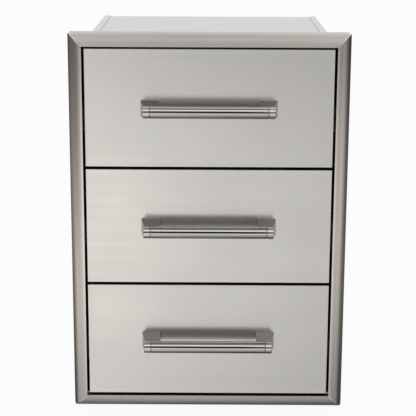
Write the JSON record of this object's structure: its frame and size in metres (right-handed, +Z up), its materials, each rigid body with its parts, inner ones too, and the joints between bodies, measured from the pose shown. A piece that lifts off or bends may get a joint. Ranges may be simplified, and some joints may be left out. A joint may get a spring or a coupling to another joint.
{
  "type": "outdoor kitchen drawer unit",
  "caption": "Built-in stainless drawer unit for a grill island: mitred bullnose frame, sheet cabinet and equal stacked drawers with tube handles on ball-bearing slides.",
  "frame": {"origin": "middle of the lower edge of the front frame's back, the face that rests against the counter", "axes": "+X to the right of someone who faces the drawers, +Y back into the counter, +Z up"},
  "size_m": [0.432, 0.5035, 0.6055],
  "materials": {
    "frame_steel": "brushed along each member, soft sheen",
    "cabinet_steel": "plain rolled sheet, satin",
    "front_steel": "fine brushing from side to side",
    "tub_steel": "plain rolled sheet, satin",
    "handle_steel": "fine turned, nearly polished",
    "bracket_steel": "satin, blasted",
    "screw_steel": "plain",
    "rivet_steel": "plain",
    "rail_zinc": "zinc plated",
    "cage_steel": "bright strip with polished balls"
  },
  "bodies": {
    "cabinet": {"frame_top_rail": "frame_steel", "frame_bottom_rail": "frame_steel", "frame_left_stile": "frame_steel", "frame_right_stile": "frame_steel", "cabinet_left_side": "cabinet_steel", "cabinet_right_side": "cabinet_steel", "cabinet_top": "cabinet_steel", "cabinet_bottom": "cabinet_steel", "cabinet_back": "cabinet_steel", "cabinet_rivets": "rivet_steel", "drawer_1_cabinet_rail_right": "rail_zinc", "drawer_1_cabinet_rail_left": "rail_zinc", "drawer_2_cabinet_rail_right": "rail_zinc", "drawer_2_cabinet_rail_left": "rail_zinc", "drawer_3_cabinet_rail_right": "rail_zinc", "drawer_3_cabinet_rail_left": "rail_zinc"},
    "drawer_1": {"drawer_1_rail_right": "rail_zinc", "drawer_1_rail_left": "rail_zinc", "drawer_1_rivets": "rivet_steel", "drawer_1_front_skin": "front_steel", "drawer_1_front_liner": "tub_steel", "drawer_1_tub": "tub_steel", "drawer_1_tub_back": "tub_steel", "drawer_1_handle_tube": "handle_steel", "drawer_1_handle_caps": "handle_steel", "drawer_1_handle_brackets": "bracket_steel", "drawer_1_handle_screws": "screw_steel"},
    "middle_rails_1": {"drawer_1_middle_rails": "rail_zinc"},
    "outer_cages_1": {"drawer_1_outer_ball_cages": "cage_steel"},
    "inner_cages_1": {"drawer_1_inner_ball_cages": "cage_steel"},
    "drawer_2": {"drawer_2_rail_right": "rail_zinc", "drawer_2_rail_left": "rail_zinc", "drawer_2_rivets": "rivet_steel", "drawer_2_front_skin": "front_steel", "drawer_2_front_liner": "tub_steel", "drawer_2_tub": "tub_steel", "drawer_2_tub_back": "tub_steel", "drawer_2_handle_tube": "handle_steel", "drawer_2_handle_caps": "handle_steel", "drawer_2_handle_brackets": "bracket_steel", "drawer_2_handle_screws": "screw_steel"},
    "middle_rails_2": {"drawer_2_middle_rails": "rail_zinc"},
    "outer_cages_2": {"drawer_2_outer_ball_cages": "cage_steel"},
    "inner_cages_2": {"drawer_2_inner_ball_cages": "cage_steel"},
    "drawer_3": {"drawer_3_rail_right": "rail_zinc", "drawer_3_rail_left": "rail_zinc", "drawer_3_rivets": "rivet_steel", "drawer_3_front_skin": "front_steel", "drawer_3_front_liner": "tub_steel", "drawer_3_tub": "tub_steel", "drawer_3_tub_back": "tub_steel", "drawer_3_handle_tube": "handle_steel", "drawer_3_handle_caps": "handle_steel", "drawer_3_handle_brackets": "bracket_steel", "drawer_3_handle_screws": "screw_steel"},
    "middle_rails_3": {"drawer_3_middle_rails": "rail_zinc"},
    "outer_cages_3": {"drawer_3_outer_ball_cages": "cage_steel"},
    "inner_cages_3": {"drawer_3_inner_ball_cages": "cage_steel"}
  },
  "joints": [
    {"name": "drawer_1_slide", "type": "slide", "parent": "cabinet", "child": "drawer_1", "axis": [0, -1, 0], "range_m": [0, 0.4]},
    {"name": "middle_rails_1_slide", "type": "slide", "parent": "cabinet", "child": "middle_rails_1", "axis": [0, -1, 0], "range_m": [0, 0.2]},
    {"name": "outer_cages_1_slide", "type": "slide", "parent": "cabinet", "child": "outer_cages_1", "axis": [0, -1, 0], "range_m": [0, 0.1]},
    {"name": "inner_cages_1_slide", "type": "slide", "parent": "cabinet", "child": "inner_cages_1", "axis": [0, -1, 0], "range_m": [0, 0.3]},
    {"name": "drawer_2_slide", "type": "slide", "parent": "cabinet", "child": "drawer_2", "axis": [0, -1, 0], "range_m": [0, 0.4]},
    {"name": "middle_rails_2_slide", "type": "slide", "parent": "cabinet", "child": "middle_rails_2", "axis": [0, -1, 0], "range_m": [0, 0.2]},
    {"name": "outer_cages_2_slide", "type": "slide", "parent": "cabinet", "child": "outer_cages_2", "axis": [0, -1, 0], "range_m": [0, 0.1]},
    {"name": "inner_cages_2_slide", "type": "slide", "parent": "cabinet", "child": "inner_cages_2", "axis": [0, -1, 0], "range_m": [0, 0.3]},
    {"name": "drawer_3_slide", "type": "slide", "parent": "cabinet", "child": "drawer_3", "axis": [0, -1, 0], "range_m": [0, 0.4]},
    {"name": "middle_rails_3_slide", "type": "slide", "parent": "cabinet", "child": "middle_rails_3", "axis": [0, -1, 0], "range_m": [0, 0.2]},
    {"name": "outer_cages_3_slide", "type": "slide", "parent": "cabinet", "child": "outer_cages_3", "axis": [0, -1, 0], "range_m": [0, 0.1]},
    {"name": "inner_cages_3_slide", "type": "slide", "parent": "cabinet", "child": "inner_cages_3", "axis": [0, -1, 0], "range_m": [0, 0.3]}
  ],
  "couplings": [
    {"joint": "middle_rails_1_slide", "follows": "drawer_1_slide", "ratio": 0.5},
    {"joint": "outer_cages_1_slide", "follows": "drawer_1_slide", "ratio": 0.25},
    {"joint": "inner_cages_1_slide", "follows": "drawer_1_slide", "ratio": 0.75},
    {"joint": "middle_rails_2_slide", "follows": "drawer_2_slide", "ratio": 0.5},
    {"joint": "outer_cages_2_slide", "follows": "drawer_2_slide", "ratio": 0.25},
    {"joint": "inner_cages_2_slide", "follows": "drawer_2_slide", "ratio": 0.75},
    {"joint": "middle_rails_3_slide", "follows": "drawer_3_slide", "ratio": 0.5},
    {"joint": "outer_cages_3_slide", "follows": "drawer_3_slide", "ratio": 0.25},
    {"joint": "inner_cages_3_slide", "follows": "drawer_3_slide", "ratio": 0.75}
  ]
}
